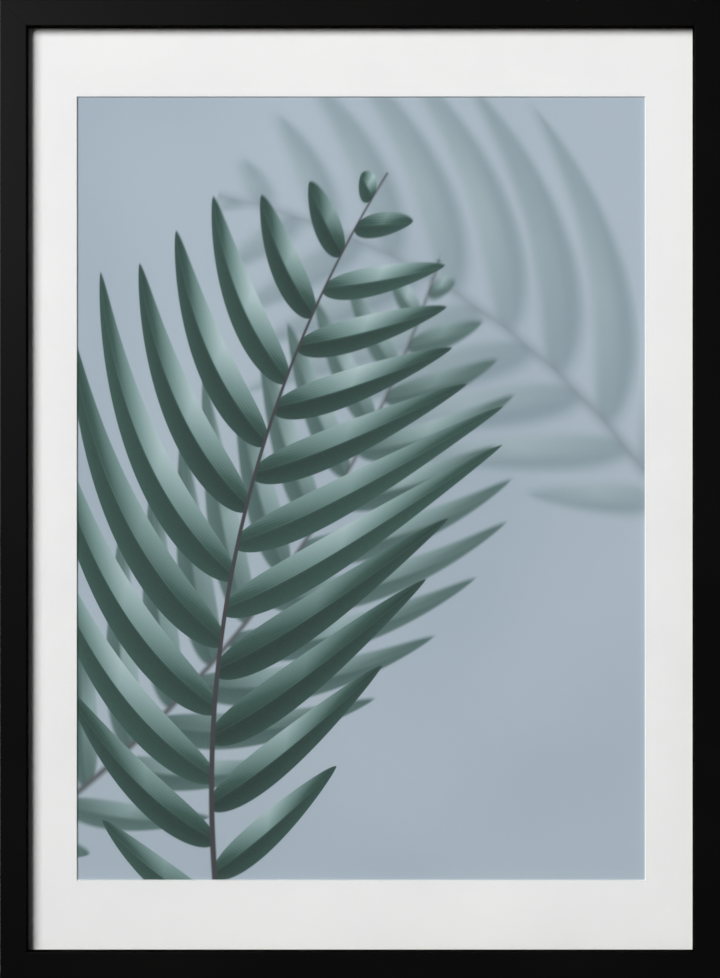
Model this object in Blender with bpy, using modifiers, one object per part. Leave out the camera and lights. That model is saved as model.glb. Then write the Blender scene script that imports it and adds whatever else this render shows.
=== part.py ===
"""A framed picture: mitred rails, glazing, a bevelled mat, a print and the backing that holds them.

Run with: blender --background --python part.py

Metres. X runs to the right as the picture is seen, Y from the viewer to the wall, Z up. The origin is the
notch in which a wall nail carries the upright hanger, in the plane of the rails' backs.

Each rail has its own side frame, an empty on the sight edge: x runs along the rail, y towards the wall and z
outwards, across the rail's face. What sits on a rail is placed in that frame.
"""

import math

import bmesh
import bpy
from mathutils import Matrix

# The frame's moulding
OUTER_WIDTH = 0.5320
OUTER_HEIGHT = 0.7226
FACE_WIDTH = 0.0200
FRAME_DEPTH = 0.0200
REBATE_WIDTH = 0.0060
OUTER_ROUND = 0.0012
SIGHT_ROUND = 0.0008
BACK_ROUND = 0.0005
ROUND_STEPS = 4

# The sheets in the rebate, front to back
GLAZING_THICKNESS = 0.0020
MAT_THICKNESS = 0.0012
PRINT_THICKNESS = 0.0003
FILLER_THICKNESS = 0.0050
BACKING_THICKNESS = 0.0030
SHEET_PLAY = 0.0005

# The mat's window, at the print, and the print behind it
WINDOW_WIDTH = 0.4216
WINDOW_HEIGHT = 0.5815
WINDOW_SHIFT = 0.0005
WINDOW_LIFT = 0.0004
WINDOW_BEVEL = 0.0005
PRINT_OVERLAP = 0.0060

# Clearances
SEAT_GAP = 0.0003
MITRE_GAP = 0.0003
HOLE_GAP = 0.0003

# The turn buttons and their screws
BUTTON_THICKNESS = 0.0012
BUTTON_REACH = 0.0160
BUTTON_ROOT_RADIUS = 0.0050
BUTTON_TIP_RADIUS = 0.0035
BUTTON_AXIS_OUT = 0.0120
SCREW_RADIUS = 0.00125
SCREW_LENGTH = 0.0110
SCREW_HEAD_RADIUS = 0.0030
SCREW_HEAD_HEIGHT = 0.0019
DOME_DEGREES = (0, 25, 50, 70, 85)
RECESS_SPAN = 0.0036
RECESS_WIDTH = 0.0008
RECESS_DEPTH = 0.0011

# The sawtooth hangers and their nails
HANGER_DROP = 0.0100
HANGER_LENGTH = 0.0460
HANGER_HEIGHT = 0.0090
HANGER_THICKNESS = 0.0008
HANGER_RISE = 0.0015
TOOTH_PITCH = 0.0024
TOOTH_HEIGHT = 0.0016
TEETH_EACH_WAY = 5
NAIL_SPREAD = 0.0200
NAIL_RADIUS = 0.0008
NAIL_LENGTH = 0.0110
NAIL_HEAD_RADIUS = 0.0020
NAIL_HEAD_HEIGHT = 0.0008
NAIL_HEAD_FLAT = 0.0014
NAIL_HEAD_RIM = 0.0003

# The corner keys and the wall bumpers
KEY_WING = 0.0080
KEY_THICKNESS = 0.0006
KEY_DEPTH = 0.0070
KEY_INSET = 0.0045
BUMPER_RADIUS = 0.0050
BUMPER_HEIGHT = 0.0042
BUMPER_ROUND = 0.0010
BUMPER_INSET = 0.0320

CIRCLE_STEPS = 20
RAMP_STEPS = 4
DRILL_STANDING_OUT = 0.004

# What follows from the sizes above
SIGHT_WIDTH = OUTER_WIDTH - 2 * FACE_WIDTH
SIGHT_HEIGHT = OUTER_HEIGHT - 2 * FACE_WIDTH
CENTRE_Z = HANGER_DROP - OUTER_HEIGHT / 2
SHEET_WIDTH = SIGHT_WIDTH + 2 * (REBATE_WIDTH - SHEET_PLAY)
SHEET_HEIGHT = SIGHT_HEIGHT + 2 * (REBATE_WIDTH - SHEET_PLAY)
SHEETS = (GLAZING_THICKNESS, MAT_THICKNESS, PRINT_THICKNESS, FILLER_THICKNESS, BACKING_THICKNESS)
LIP_DEPTH = FRAME_DEPTH - sum(SHEETS) - len(SHEETS) * SEAT_GAP
HEAD_SEAT = SEAT_GAP + BUTTON_THICKNESS + SEAT_GAP
HANGER_MIDDLE = HANGER_HEIGHT / 2 - TOOTH_HEIGHT

# Each side's name, turn about Y, length at the sight edge and distance from the picture's middle
SIDES = {
    "top": (0.0, SIGHT_WIDTH, SIGHT_HEIGHT / 2),
    "right": (90.0, SIGHT_HEIGHT, SIGHT_WIDTH / 2),
    "bottom": (180.0, SIGHT_WIDTH, SIGHT_HEIGHT / 2),
    "left": (-90.0, SIGHT_HEIGHT, SIGHT_WIDTH / 2),
}
CORNERS = {"top_right": 0.0, "bottom_right": 90.0, "bottom_left": 180.0, "top_left": 270.0}


def clear_scene():
    """Remove every object, so that only the picture is left."""
    for thing in list(bpy.data.objects):
        bpy.data.objects.remove(thing, do_unlink=True)


def new_collection(name):
    """Return a new collection linked to the scene."""
    group = bpy.data.collections.new(name)
    bpy.context.scene.collection.children.link(group)
    return group


def new_material(name, colour, roughness, metallic=0.0, alpha=1.0):
    """Return a Principled material."""
    made = bpy.data.materials.new(name)
    made.use_nodes = True
    shader = made.node_tree.nodes["Principled BSDF"]
    shader.inputs["Base Color"].default_value = (*colour, 1.0)
    shader.inputs["Roughness"].default_value = roughness
    shader.inputs["Metallic"].default_value = metallic
    shader.inputs["Alpha"].default_value = alpha
    return made


def place(name, mesh, group, parent, location=(0.0, 0.0, 0.0), turn=0.0, material=None):
    """Put a mesh in the scene as one object, turned about Y in degrees within its parent's frame."""
    thing = bpy.data.objects.new(name, mesh)
    group.objects.link(thing)
    thing.parent = parent
    thing.location = location
    thing.rotation_euler = (0.0, math.radians(turn), 0.0)
    if material is not None:
        thing.data.materials.clear()
        thing.data.materials.append(material)
    return thing


def place_cutter(name, mesh, group, parent, location=(0.0, 0.0, 0.0), turn=0.0):
    """Put a mesh in the scene as a cutter, which is only drawn as wire."""
    cutter = place(name, mesh, group, parent, location, turn)
    cutter.display_type = "WIRE"
    cutter.hide_render = True
    return cutter


def new_empty(name, group, parent=None, location=(0.0, 0.0, 0.0), turn=0.0):
    """Return an empty turned about Y, in degrees."""
    frame = bpy.data.objects.new(name, None)
    group.objects.link(frame)
    frame.empty_display_size = 0.02
    frame.parent = parent
    frame.location = location
    frame.rotation_euler = (0.0, math.radians(turn), 0.0)
    return frame


def cut(thing, cutters):
    """Take every cutter of a collection out of an object."""
    boolean = thing.modifiers.new("cut", "BOOLEAN")
    boolean.operation = "DIFFERENCE"
    boolean.operand_type = "COLLECTION"
    boolean.collection = cutters
    boolean.solver = "EXACT"


def finished_mesh(thing, smooth_angle=None):
    """Return an object's evaluated mesh with its doubles welded, and remove the object."""
    bpy.context.view_layer.update()
    evaluated = thing.evaluated_get(bpy.context.evaluated_depsgraph_get())
    mesh = bpy.data.meshes.new_from_object(evaluated)
    edited = bmesh.new()
    edited.from_mesh(mesh)
    bmesh.ops.remove_doubles(edited, verts=edited.verts, dist=1e-6)
    edited.to_mesh(mesh)
    edited.free()
    bpy.data.objects.remove(thing, do_unlink=True)
    if smooth_angle is not None:
        mesh.shade_smooth()
        mesh.set_sharp_from_angle(angle=math.radians(smooth_angle))
    return mesh


def arc(middle_x, middle_y, radius, start, end, steps=ROUND_STEPS):
    """Return points along an arc, from the start angle to the end angle in degrees."""
    angles = [math.radians(start + (end - start) * step / steps) for step in range(steps + 1)]
    return [(middle_x + radius * math.cos(angle), middle_y + radius * math.sin(angle)) for angle in angles]


def flat_mesh(name, loops, thickness, group):
    """Return a flat piece in the XZ plane: closed outlines, the first round the rest, extruded along Y."""
    curve = bpy.data.curves.new(name, "CURVE")
    curve.dimensions = "2D"
    curve.fill_mode = "BOTH"
    curve.extrude = thickness / 2
    for points in loops:
        spline = curve.splines.new("POLY")
        spline.points.add(len(points) - 1)
        for vertex, (x, y) in zip(spline.points, points):
            vertex.co = (x, y, 0.0, 1.0)
        spline.use_cyclic_u = True
    mesh = finished_mesh(place(name, curve, group, None))
    mesh.transform(Matrix.Rotation(math.radians(90.0), 4, "X"))
    return mesh


def turned_mesh(name, profile, group, smooth_angle=35.0):
    """Return a turned piece on the Y axis, from (radius, y) points that run from its wall end inwards."""
    outline = bpy.data.meshes.new(name)
    points = [(radius, 0.0, height) for radius, height in profile]
    outline.from_pydata(points, [(n, n + 1) for n in range(len(points) - 1)], [])
    thing = place(name, outline, group, None)
    screw = thing.modifiers.new("turn", "SCREW")
    screw.angle = math.radians(360.0)
    screw.steps = CIRCLE_STEPS
    screw.render_steps = CIRCLE_STEPS
    screw.use_merge_vertices = True
    screw.merge_threshold = 1e-6
    mesh = finished_mesh(thing, smooth_angle)
    mesh.transform(Matrix.Rotation(math.radians(-90.0), 4, "X"))
    return mesh


def box_mesh(name, width, depth, height):
    """Return a box round the origin: width along X, depth along Y, height along Z."""
    edited = bmesh.new()
    bmesh.ops.create_cube(edited, size=1.0)
    bmesh.ops.scale(edited, vec=(width, depth, height), verts=edited.verts)
    mesh = bpy.data.meshes.new(name)
    edited.to_mesh(mesh)
    edited.free()
    return mesh


def rail_profile():
    """Return the moulding's section as (out, back) points: lip, face, outer side, back and rebate."""
    outer_middle = FACE_WIDTH - OUTER_ROUND
    back_middle = FACE_WIDTH - BACK_ROUND
    points = [(0.0, LIP_DEPTH)]
    points += arc(SIGHT_ROUND, SIGHT_ROUND, SIGHT_ROUND, 180, 270)
    points += arc(outer_middle, OUTER_ROUND, OUTER_ROUND, 270, 360)
    points += arc(back_middle, FRAME_DEPTH - BACK_ROUND, BACK_ROUND, 0, 90, 2)
    points += [(REBATE_WIDTH, FRAME_DEPTH), (REBATE_WIDTH, LIP_DEPTH)]
    return points


def rail_mesh(name, sight_length):
    """Return a rail along X in its side frame: the section drawn along the rail and mitred at both ends."""
    half_length = sight_length / 2 - MITRE_GAP / math.sqrt(2)
    edited = bmesh.new()
    left_end = [(-half_length - out, back - FRAME_DEPTH, out) for out, back in rail_profile()]
    section = edited.faces.new([edited.verts.new(point) for point in left_end])
    grown = bmesh.ops.extrude_face_region(edited, geom=[section])
    for vertex in grown["geom"]:
        if isinstance(vertex, bmesh.types.BMVert):
            vertex.co.x = -vertex.co.x
    bmesh.ops.recalc_face_normals(edited, faces=edited.faces)
    mesh = bpy.data.meshes.new(name)
    edited.to_mesh(mesh)
    edited.free()
    return mesh


def mat_mesh(group):
    """Return the mat: a sheet with a steeply bevelled window, wider in front than at the print."""
    cutters = new_collection("mat_cutters")
    window_depth = MAT_THICKNESS + 2 * SEAT_GAP
    beyond = SEAT_GAP * WINDOW_BEVEL / MAT_THICKNESS
    wedge = box_mesh("window_wedge", WINDOW_WIDTH, window_depth, WINDOW_HEIGHT)
    for vertex in wedge.vertices:
        spread = WINDOW_BEVEL + beyond if vertex.co.y < 0 else -beyond
        vertex.co.x += math.copysign(spread, vertex.co.x)
        vertex.co.z += math.copysign(spread, vertex.co.z)
    cutter = place_cutter("window_wedge", wedge, cutters, None, (WINDOW_SHIFT, 0.0, WINDOW_LIFT))
    sheet = place("mat_sheet", box_mesh("mat_sheet", SHEET_WIDTH, MAT_THICKNESS, SHEET_HEIGHT), group, None)
    cut(sheet, cutters)
    mesh = finished_mesh(sheet)
    bpy.data.objects.remove(cutter, do_unlink=True)
    bpy.data.collections.remove(cutters)
    return mesh


def button_mesh(group):
    """Return a turn button: a round root on its screw, tapering to a narrower finger that points to -Z."""
    root = arc(0.0, 0.0, BUTTON_ROOT_RADIUS, 0, 180, 10)
    tip = arc(0.0, BUTTON_TIP_RADIUS - BUTTON_REACH, BUTTON_TIP_RADIUS, 180, 360, 8)
    hole = arc(0.0, 0.0, SCREW_RADIUS + HOLE_GAP, 0, 360, CIRCLE_STEPS)[:-1]
    return flat_mesh("turn_button", [root + tip, hole], BUTTON_THICKNESS, group)


def cross_outline(reach, half_width):
    """Return an upright cross round the origin, as one closed outline."""
    arm = [(reach, -half_width), (reach, half_width), (half_width, half_width)]
    turns = ((1, 0), (0, 1), (-1, 0), (0, -1))
    return [(x * cos - y * sin, x * sin + y * cos) for cos, sin in turns for x, y in arm]


def screw_mesh(group):
    """Return a pan head screw whose head sits on y = 0, with a cross recess.

    The head's radius follows the sine and its height the cosine's root: flat on top and steep at the rim.
    """
    dome = []
    for degrees in DOME_DEGREES:
        angle = math.radians(degrees)
        dome.append((SCREW_HEAD_RADIUS * math.sin(angle), SCREW_HEAD_HEIGHT * math.sqrt(math.cos(angle))))
    profile = dome + [
        (SCREW_HEAD_RADIUS, 0.0),
        (SCREW_RADIUS, 0.0),
        (SCREW_RADIUS, -SCREW_LENGTH + 2 * SCREW_RADIUS),
        (0.0, -SCREW_LENGTH),
    ]
    whole = place("screw", turned_mesh("screw", profile, group), group, None)
    cutters = new_collection("recess_cutters")
    cross = flat_mesh("recess", [cross_outline(RECESS_SPAN / 2, RECESS_WIDTH / 2)], 2 * RECESS_DEPTH, group)
    half_facet = 180.0 / CIRCLE_STEPS
    recess = place_cutter("recess", cross, cutters, None, (0.0, SCREW_HEAD_HEIGHT, 0.0), half_facet)
    cut(whole, cutters)
    mesh = finished_mesh(whole, 35.0)
    bpy.data.objects.remove(recess, do_unlink=True)
    bpy.data.collections.remove(cutters)
    return mesh


def nail_mesh(group):
    """Return a flat headed nail whose head sits on y = 0."""
    profile = [
        (0.0, NAIL_HEAD_HEIGHT),
        (NAIL_HEAD_FLAT, NAIL_HEAD_HEIGHT),
        (NAIL_HEAD_RADIUS, NAIL_HEAD_RIM),
        (NAIL_HEAD_RADIUS, 0.0),
        (NAIL_RADIUS, 0.0),
        (NAIL_RADIUS, -NAIL_LENGTH + 3 * NAIL_RADIUS),
        (0.0, -NAIL_LENGTH),
    ]
    return turned_mesh("hanger_nail", profile, group)


def bumper_mesh(group):
    """Return a bumper that stands on y = 0, flat where it meets the wall, with a rounded rim."""
    rim = arc(BUMPER_RADIUS - BUMPER_ROUND, BUMPER_HEIGHT - BUMPER_ROUND, BUMPER_ROUND, 90, 0)
    return turned_mesh("bumper", [(0.0, BUMPER_HEIGHT)] + rim + [(BUMPER_RADIUS, 0.0), (0.0, 0.0)], group)


def hanger_rise(x):
    """Return how far the hanger's middle surface stands off the rail: low at the nails, bowed between."""
    teeth_end = TEETH_EACH_WAY * TOOTH_PITCH
    foot = NAIL_SPREAD - NAIL_HEAD_RADIUS - SEAT_GAP
    share = min(max((foot - abs(x)) / (foot - teeth_end), 0.0), 1.0)
    return SEAT_GAP + HANGER_THICKNESS / 2 + HANGER_RISE * share * share * (3 - 2 * share)


def hanger_mesh(group):
    """Return a sawtooth hanger: a strip along X, bowed off the rail, with teeth on its lower edge.

    The middle notch is at z = 0, so that the wall nail's top is the piece's own origin.
    """
    teeth_end = TEETH_EACH_WAY * TOOTH_PITCH
    ramp = NAIL_SPREAD - NAIL_HEAD_RADIUS - SEAT_GAP - teeth_end
    ramp_xs = [teeth_end + ramp * step / RAMP_STEPS for step in range(1, RAMP_STEPS + 1)]
    tooth_xs = [TOOTH_PITCH * step / 2 for step in range(2 * TEETH_EACH_WAY + 1)]
    right_xs = tooth_xs + ramp_xs + [HANGER_LENGTH / 2]
    xs = [-x for x in reversed(right_xs[1:])] + right_xs
    upper_z = HANGER_HEIGHT - TOOTH_HEIGHT

    def lower_z(x):
        """The lower edge: notches at whole pitches, tips halfway between, and a plain edge past the teeth."""
        if abs(x) >= teeth_end:
            return -TOOTH_HEIGHT
        pitches = abs(x) / TOOTH_PITCH
        return -2 * TOOTH_HEIGHT * abs(pitches - round(pitches))

    edited = bmesh.new()
    upper = [edited.verts.new((x, hanger_rise(x), upper_z)) for x in xs]
    lower = [edited.verts.new((x, hanger_rise(x), lower_z(x))) for x in xs]
    for n in range(len(xs) - 1):
        edited.faces.new((upper[n], upper[n + 1], lower[n + 1], lower[n]))
    mesh = bpy.data.meshes.new("hanger")
    edited.to_mesh(mesh)
    edited.free()
    strip = place("hanger", mesh, group, None)
    wall = strip.modifiers.new("thickness", "SOLIDIFY")
    wall.thickness = HANGER_THICKNESS
    wall.offset = 0.0
    wall.use_even_offset = True
    cutters = new_collection("hanger_cutters")
    drill = drill_mesh("hanger_drill", NAIL_RADIUS + HOLE_GAP, NAIL_LENGTH, group)
    drills = [
        place_cutter(f"hanger_drill_{n}", drill, cutters, None, (side * NAIL_SPREAD, 0.0, HANGER_MIDDLE))
        for n, side in enumerate((-1, 1))
    ]
    cut(strip, cutters)
    finished = finished_mesh(strip)
    for cutter in drills:
        bpy.data.objects.remove(cutter, do_unlink=True)
    bpy.data.collections.remove(cutters)
    return finished


def drill_mesh(name, radius, depth, group):
    """Return a drill for a blind hole along Y, from well above the face to its point at y = -depth."""
    shank_end = radius - depth
    profile = [(0.0, DRILL_STANDING_OUT), (radius, DRILL_STANDING_OUT), (radius, shank_end), (0.0, -depth)]
    return turned_mesh(name, profile, group)


def key_outline(grow):
    """Return a corner key's outline: two wings from the apex at the origin, grown by a clearance."""
    thin = -KEY_THICKNESS - grow
    far = -KEY_WING - grow
    return [(grow, grow), (far, grow), (far, thin), (thin, thin), (thin, far), (grow, far)]


def add_rails(parts, cutters, sides, lacquer):
    """The four rails, each cut by the pilot holes and the key pockets that meet it."""
    for side, (_, sight_length, _) in SIDES.items():
        name = f"rail_{side}"
        rail = place(name, rail_mesh(name, sight_length), parts, sides[side], material=lacquer)
        cut(rail, cutters)


def add_sheets(parts, middle, materials):
    """The sheets in the rebate, each a seat gap behind the one before it."""
    sheet_size = (SHEET_WIDTH, SHEET_HEIGHT)
    print_size = (WINDOW_WIDTH + 2 * PRINT_OVERLAP, WINDOW_HEIGHT + 2 * PRINT_OVERLAP)
    front = -FRAME_DEPTH + LIP_DEPTH
    for name, thickness, (width, height), across, lift in (
        ("glazing", GLAZING_THICKNESS, sheet_size, 0.0, 0.0),
        ("mat", MAT_THICKNESS, sheet_size, 0.0, 0.0),
        ("print", PRINT_THICKNESS, print_size, WINDOW_SHIFT, WINDOW_LIFT),
        ("filler_board", FILLER_THICKNESS, sheet_size, 0.0, 0.0),
        ("backing_board", BACKING_THICKNESS, sheet_size, 0.0, 0.0),
    ):
        front += SEAT_GAP
        mesh = mat_mesh(parts) if name == "mat" else box_mesh(name, width, thickness, height)
        place(name, mesh, parts, middle, (across, front + thickness / 2, lift), material=materials[name])
        front += thickness


def add_turn_buttons(parts, cutters, sides, materials):
    """Two turn buttons on each rail, each on the axis of its own screw."""
    button = button_mesh(parts)
    screw = screw_mesh(parts)
    drill = drill_mesh("screw_drill", SCREW_RADIUS + HOLE_GAP, SCREW_LENGTH, parts)
    for side, (_, sight_length, _) in SIDES.items():
        for number, along in ((1, -sight_length / 4), (2, sight_length / 4)):
            label = f"{side}_{number}"
            plate_y = SEAT_GAP + BUTTON_THICKNESS / 2
            place(
                f"turn_button_{label}", button, parts, sides[side],
                (along, plate_y, BUTTON_AXIS_OUT), material=materials["turn_button"],
            )
            place(
                f"button_screw_{label}", screw, parts, sides[side],
                (along, HEAD_SEAT, BUTTON_AXIS_OUT), material=materials["screw"],
            )
            place_cutter(
                f"screw_drill_{label}", drill, cutters, sides[side], (along, 0.0, BUTTON_AXIS_OUT)
            )


def add_hangers(parts, cutters, sides, materials):
    """A sawtooth hanger in the middle of the top rail and of the left one, each on two nails."""
    hanger = hanger_mesh(parts)
    nail = nail_mesh(parts)
    drill = drill_mesh("nail_drill", NAIL_RADIUS + HOLE_GAP, NAIL_LENGTH, parts)
    notch_out = FACE_WIDTH - HANGER_DROP
    nail_seat = SEAT_GAP + HANGER_THICKNESS + SEAT_GAP
    for way, side in (("upright", "top"), ("sideways", "left")):
        place(
            f"hanger_{way}", hanger, parts, sides[side], (0.0, 0.0, notch_out), material=materials["hanger"]
        )
        for number, along in ((1, -NAIL_SPREAD), (2, NAIL_SPREAD)):
            label = f"{way}_{number}"
            nail_out = notch_out + HANGER_MIDDLE
            place(
                f"hanger_nail_{label}", nail, parts, sides[side],
                (along, nail_seat, nail_out), material=materials["nail"],
            )
            place_cutter(f"nail_drill_{label}", drill, cutters, sides[side], (along, 0.0, nail_out))


def add_corner_keys(parts, cutters, corners, materials):
    """A key across each mitre, sunk just below the rails' backs, in a pocket that clears it all round."""
    key = flat_mesh("corner_key", [key_outline(0.0)], KEY_DEPTH, parts)
    pocket = flat_mesh("key_pocket", [key_outline(HOLE_GAP)], KEY_DEPTH + 4 * SEAT_GAP, parts)
    for name, corner in corners.items():
        inset = (-KEY_INSET, -SEAT_GAP - KEY_DEPTH / 2, -KEY_INSET)
        pocket_at = (inset[0], -KEY_DEPTH / 2, inset[2])
        place(f"corner_key_{name}", key, parts, corner, inset, material=materials["key"])
        place_cutter(f"key_pocket_{name}", pocket, cutters, corner, pocket_at)


def add_bumpers(parts, sides, materials):
    """A bumper near each corner, on the top and bottom rails."""
    bumper = bumper_mesh(parts)
    along = OUTER_WIDTH / 2 - BUMPER_INSET
    for side, left_sign in (("top", -1), ("bottom", 1)):
        for end, sign in (("left", left_sign), ("right", -left_sign)):
            place(
                f"bumper_{side}_{end}", bumper, parts, sides[side],
                (sign * along, SEAT_GAP, BUTTON_AXIS_OUT), material=materials["bumper"],
            )


def main():
    clear_scene()
    parts = new_collection("framed_picture")
    cutters = new_collection("rail_cutters")
    materials = {
        "lacquer": new_material("black_lacquer", (0.012, 0.012, 0.012), 0.42),
        "glazing": new_material("clear_glass", (0.95, 0.97, 0.97), 0.02, alpha=0.08),
        "mat": new_material("white_mat", (0.86, 0.86, 0.86), 0.85),
        "print": new_material("print_paper", (0.37, 0.44, 0.50), 0.60),
        "filler_board": new_material("grey_card", (0.62, 0.58, 0.52), 0.90),
        "backing_board": new_material("hardboard", (0.25, 0.15, 0.08), 0.75),
        "turn_button": new_material("zinc_plate", (0.55, 0.55, 0.53), 0.35, 1.0),
        "screw": new_material("screw_steel", (0.60, 0.60, 0.58), 0.30, 1.0),
        "hanger": new_material("hanger_steel", (0.58, 0.57, 0.54), 0.38, 1.0),
        "nail": new_material("nail_steel", (0.50, 0.50, 0.48), 0.40, 1.0),
        "key": new_material("key_steel", (0.40, 0.40, 0.40), 0.45, 1.0),
        "bumper": new_material("bumper_rubber", (0.05, 0.05, 0.05), 0.80),
    }
    middle = new_empty("picture_middle", parts, location=(0.0, 0.0, CENTRE_Z))
    sides = {}
    for side, (turn, _, distance) in SIDES.items():
        radians = math.radians(turn)
        at = (distance * math.sin(radians), 0.0, distance * math.cos(radians))
        sides[side] = new_empty(f"{side}_side", parts, middle, at, turn)
    corners = {}
    for name, turn in CORNERS.items():
        across, up = name.split("_")[1], name.split("_")[0]
        at = (
            OUTER_WIDTH / 2 * (1 if across == "right" else -1),
            0.0,
            OUTER_HEIGHT / 2 * (1 if up == "top" else -1),
        )
        corners[name] = new_empty(f"{name}_corner", parts, middle, at, turn)
    add_turn_buttons(parts, cutters, sides, materials)
    add_hangers(parts, cutters, sides, materials)
    add_corner_keys(parts, cutters, corners, materials)
    add_bumpers(parts, sides, materials)
    add_rails(parts, cutters, sides, materials["lacquer"])
    add_sheets(parts, middle, materials)


main()
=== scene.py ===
import math

import bpy
import numpy as np
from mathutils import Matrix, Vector


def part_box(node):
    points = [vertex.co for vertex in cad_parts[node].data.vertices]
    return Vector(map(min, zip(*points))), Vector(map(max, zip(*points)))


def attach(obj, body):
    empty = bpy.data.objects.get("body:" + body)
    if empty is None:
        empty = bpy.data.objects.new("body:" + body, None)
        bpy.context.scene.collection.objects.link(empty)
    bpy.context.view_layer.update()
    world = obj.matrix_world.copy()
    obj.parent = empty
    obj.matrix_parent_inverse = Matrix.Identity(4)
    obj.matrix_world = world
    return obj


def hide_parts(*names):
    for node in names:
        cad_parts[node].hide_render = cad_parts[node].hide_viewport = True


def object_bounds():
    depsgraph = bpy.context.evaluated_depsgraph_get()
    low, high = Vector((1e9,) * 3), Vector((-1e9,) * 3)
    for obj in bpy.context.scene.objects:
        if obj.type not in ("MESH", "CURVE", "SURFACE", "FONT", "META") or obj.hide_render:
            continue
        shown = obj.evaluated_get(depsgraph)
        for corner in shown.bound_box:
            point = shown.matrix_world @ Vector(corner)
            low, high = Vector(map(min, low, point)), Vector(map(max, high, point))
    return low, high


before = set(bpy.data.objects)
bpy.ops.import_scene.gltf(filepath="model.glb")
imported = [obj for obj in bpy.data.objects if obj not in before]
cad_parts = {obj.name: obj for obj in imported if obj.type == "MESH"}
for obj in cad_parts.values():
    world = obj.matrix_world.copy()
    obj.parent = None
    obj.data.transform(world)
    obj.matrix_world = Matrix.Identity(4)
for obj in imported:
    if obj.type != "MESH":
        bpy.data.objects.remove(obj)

cad_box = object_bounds()

# Sizes read from the frame: X to the right, Y from the viewer to the wall, Z up
LOW, HIGH = (np.array(corner) for corner in cad_box)
RAIL_LOW, RAIL_HIGH = (np.array(corner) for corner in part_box("rail_top"))
GLAZING_LOW, GLAZING_HIGH = (np.array(corner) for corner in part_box("glazing"))
MAT_LOW, MAT_HIGH = (np.array(corner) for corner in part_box("mat"))
PRINT_LOW, PRINT_HIGH = (np.array(corner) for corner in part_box("print"))
BOARD_LOW, BOARD_HIGH = (np.array(corner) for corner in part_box("backing_board"))
FRONT = RAIL_LOW[1]
BACK = RAIL_HIGH[1]
DEPTH = BACK - FRONT
FACE = RAIL_HIGH[2] - RAIL_LOW[2]
OUTER_WIDTH = HIGH[0] - LOW[0]
OUTER_HEIGHT = HIGH[2] - LOW[2]
SIGHT_WIDTH = OUTER_WIDTH - 2 * FACE
SIGHT_HEIGHT = OUTER_HEIGHT - 2 * FACE
CENTRE_Z = (HIGH[2] + LOW[2]) / 2
MIDDLE = np.array((0.0, (FRONT + BACK) / 2, CENTRE_Z))

# Sizes of the finish, in metres
SEAT_GAP = 0.0003
REBATE = 0.0060
LIP = GLAZING_LOW[1] - FRONT - SEAT_GAP
OUTER_ROUND = 0.0012
SIGHT_ROUND = 0.0008
BACK_ROUND = 0.0005
KEY_INSET = 0.0045
KEY_WING = 0.0080
KEY_THICKNESS = 0.0006
KEY_DEPTH = 0.0070
POCKET_GAP = 0.0003
MITRE_GAP = 0.00002
MITRE_EASE = 0.00006
GRAIN_SHIFT = 0.1
GUARD = 0.00015
PRINT_OVERLAP = 0.0060
WINDOW_HALF_WIDTH = (PRINT_HIGH[0] - PRINT_LOW[0]) / 2 - PRINT_OVERLAP
WINDOW_HALF_HEIGHT = (PRINT_HIGH[2] - PRINT_LOW[2]) / 2 - PRINT_OVERLAP
WINDOW_ACROSS = (PRINT_HIGH[0] + PRINT_LOW[0]) / 2
WINDOW_MIDDLE = (PRINT_HIGH[2] + PRINT_LOW[2]) / 2
BEVEL = 0.0005
MAT_EASE = 0.00008
PANE_EASE = 0.0003
BOARD_EASE = 0.0004
HEAD_ON_MIRROR = 0.034

# The view and the studio: metres, degrees and strengths
VIEW_TRIM = 0.0014
VIEW_OFF = -0.00035
LENS = 60.0
SENSOR = 36.0
FLOOR_HALF_SPAN = 14.0
FLOOR_DROP = 0.0005
KEY_SOFTNESS = 34.0
REAR_SOFTNESS = 40.0
SKY_SEEN = 0.95
SKY_IN_FRONT = 0.035
SKY_BEHIND = 0.45


class Value:
    """A socket's value. Python's operators on it add Math nodes, and plain numbers stay plain inputs."""

    def __init__(self, finish, socket):
        self.finish = finish
        self.socket = socket

    def math(self, operation, *others):
        inputs = dict(enumerate((self, *others)))
        return self.finish.node("ShaderNodeMath", {"operation": operation}, inputs)

    def __add__(self, other):
        return self.math("ADD", other)

    __radd__ = __add__

    def __mul__(self, other):
        return self.math("MULTIPLY", other)

    __rmul__ = __mul__

    def __sub__(self, other):
        return self.math("SUBTRACT", other)

    def __rsub__(self, other):
        return self.finish.node("ShaderNodeMath", {"operation": "SUBTRACT"}, {0: other, 1: self})

    def __truediv__(self, other):
        return self.math("DIVIDE", other)

    def __rtruediv__(self, other):
        return self.finish.node("ShaderNodeMath", {"operation": "DIVIDE"}, {0: other, 1: self})

    def __pow__(self, other):
        return self.math("POWER", other)

    def __neg__(self):
        return self.math("MULTIPLY", -1.0)

    def __abs__(self):
        return self.math("ABSOLUTE")

    def __lt__(self, other):
        return self.math("LESS_THAN", other)

    def __gt__(self, other):
        return self.math("GREATER_THAN", other)


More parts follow.
